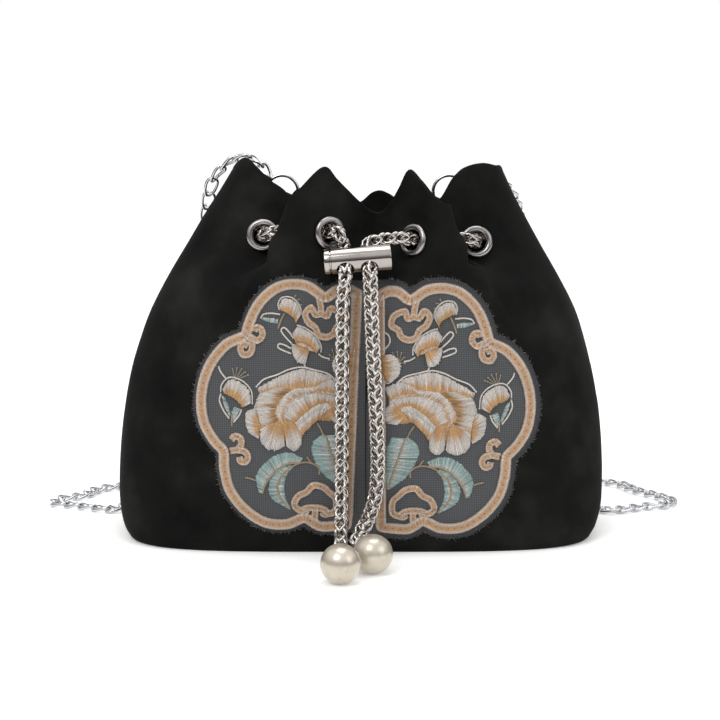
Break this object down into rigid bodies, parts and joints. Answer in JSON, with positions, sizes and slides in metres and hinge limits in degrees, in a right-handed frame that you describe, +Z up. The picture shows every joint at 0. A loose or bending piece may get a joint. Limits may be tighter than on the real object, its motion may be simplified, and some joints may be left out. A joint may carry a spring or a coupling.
{
  "type": "drawstring bucket bag",
  "caption": "Soft black velvet bucket bag with pleated neck, chain drawstring with barrel lock and pearls, embroidered organza medallion and chain strap.",
  "frame": {"origin": "centre of the flat base, on the surface the bag stands on", "axes": "+Z up, the embroidered front faces -Y, +X to the viewer's right along the longest extent"},
  "size_m": [0.3034, 0.2074, 0.1739],
  "materials": {
    "velvet": "black short pile velvet, soft sheen on the folds",
    "eyelet_metal": "polished gunmetal plate",
    "chain_metal": "polished nickel plate",
    "lock_metal": "mirror polished steel",
    "strap_metal": "bright nickel plate",
    "pearl": "cream pearl lustre",
    "organza": "sheer grey organza over black",
    "satin": "peach satin band with cream edges",
    "tab_cloth": "plain black cloth"
  },
  "bodies": {
    "root": {"bag_body": "velvet", "eyelet_front_left_outer": "eyelet_metal", "eyelet_front_left_fold": "eyelet_metal", "eyelet_front_left_inner": "eyelet_metal", "eyelet_front_right_inner": "eyelet_metal", "eyelet_front_right_fold": "eyelet_metal", "eyelet_front_right_outer": "eyelet_metal", "eyelet_back_right_outer": "eyelet_metal", "eyelet_back_right_fold": "eyelet_metal", "eyelet_back_right_inner": "eyelet_metal", "eyelet_back_left_inner": "eyelet_metal", "eyelet_back_left_fold": "eyelet_metal", "eyelet_back_left_outer": "eyelet_metal", "drawstring": "chain_metal", "cord_lock": "lock_metal", "pearl_left": "pearl", "pearl_right": "pearl", "patch_left": "organza", "border_left": "satin", "strap_ring_left": "strap_metal", "ring_tab_left": "tab_cloth", "patch_right": "organza", "border_right": "satin", "strap_ring_right": "strap_metal", "ring_tab_right": "tab_cloth", "strap": "strap_metal"}
  },
  "joints": []
}
